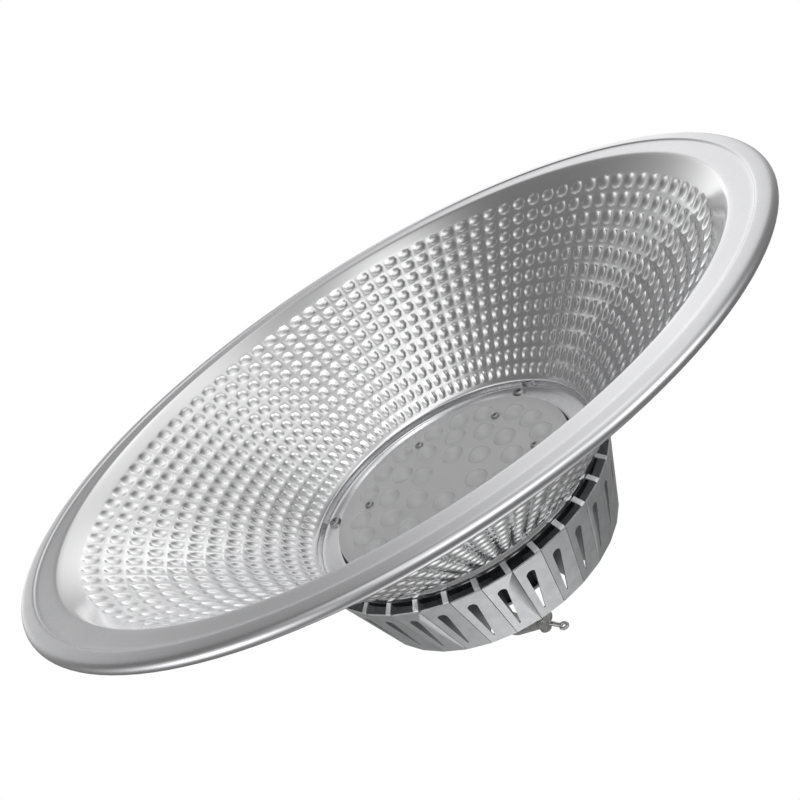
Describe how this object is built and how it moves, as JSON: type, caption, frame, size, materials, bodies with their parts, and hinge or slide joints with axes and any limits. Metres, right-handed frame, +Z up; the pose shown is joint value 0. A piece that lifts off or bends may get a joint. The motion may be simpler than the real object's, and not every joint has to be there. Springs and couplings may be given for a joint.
{
  "type": "high bay light",
  "caption": "Hanging industrial light with a wide dimpled bell reflector, a lens array at its neck, a drum heat sink of folded sheet fins and a pinned hook hanger.",
  "frame": {"origin": "centre of the reflector's rim plane, at the bottom of the light as it hangs", "axes": "+Z up the light's axis from the rim to the hanger; the light shines along -Z; the hook's leg stands at 118 degrees from +X about +Z"},
  "size_m": [0.4099, 0.41, 0.2365],
  "materials": {
    "dimpled_aluminium": "spun and dimpled, bright anodised",
    "fin_aluminium": "stamped sheet, satin",
    "cast_aluminium": "die-cast, as cast",
    "cover_aluminium": "stamped sheet, satin",
    "clear_acrylic": "moulded clear, glossy",
    "white_board": "white solder mask",
    "green_board": "green solder mask",
    "grey_pad": "silicone thermal pad, matte",
    "white_silicone": "moulded white silicone, matte",
    "seal_rubber": "moulded silicone, matte",
    "black_plastic": "moulded nylon, matte",
    "terminal_plastic": "moulded nylon, matte",
    "capacitor_can": "sleeved can, satin",
    "zinc_steel": "bright zinc plated",
    "hanger_steel": "zinc plated",
    "bright_steel": "bright drawn wire"
  },
  "bodies": {
    "root": {"reflector": "dimpled_aluminium", "reflector_screws": "zinc_steel", "lens_plate": "clear_acrylic", "lens_gasket": "white_silicone", "lens_screws": "zinc_steel", "led_board": "white_board", "thermal_pad": "grey_pad", "core_body": "cast_aluminium", "driver_board": "green_board", "driver_transformer": "black_plastic", "driver_capacitor": "capacitor_can", "terminal_block": "terminal_plastic", "driver_screws": "zinc_steel", "back_cover": "cover_aluminium", "cover_gasket": "seal_rubber", "cover_screws": "zinc_steel", "gland_body": "black_plastic", "gland_nut": "black_plastic", "gland_seal": "seal_rubber", "suspension_stem": "hanger_steel", "stem_nuts": "hanger_steel", "hanger_hook": "hanger_steel", "hanger_pin": "hanger_steel", "split_pin": "bright_steel", "fin_01": "fin_aluminium", "fin_02": "fin_aluminium", "fin_03": "fin_aluminium", "fin_04": "fin_aluminium", "fin_05": "fin_aluminium", "fin_06": "fin_aluminium", "fin_07": "fin_aluminium", "fin_08": "fin_aluminium", "fin_09": "fin_aluminium", "fin_10": "fin_aluminium", "fin_11": "fin_aluminium", "fin_12": "fin_aluminium", "fin_13": "fin_aluminium", "fin_14": "fin_aluminium", "fin_15": "fin_aluminium", "fin_16": "fin_aluminium", "fin_17": "fin_aluminium", "fin_18": "fin_aluminium", "fin_19": "fin_aluminium", "fin_20": "fin_aluminium", "fin_21": "fin_aluminium", "fin_22": "fin_aluminium", "fin_23": "fin_aluminium", "fin_24": "fin_aluminium", "fin_25": "fin_aluminium", "fin_26": "fin_aluminium", "fin_27": "fin_aluminium", "fin_28": "fin_aluminium", "fin_29": "fin_aluminium", "fin_30": "fin_aluminium", "fin_31": "fin_aluminium", "fin_32": "fin_aluminium", "fin_33": "fin_aluminium", "fin_34": "fin_aluminium", "fin_35": "fin_aluminium", "fin_36": "fin_aluminium"}
  },
  "joints": []
}
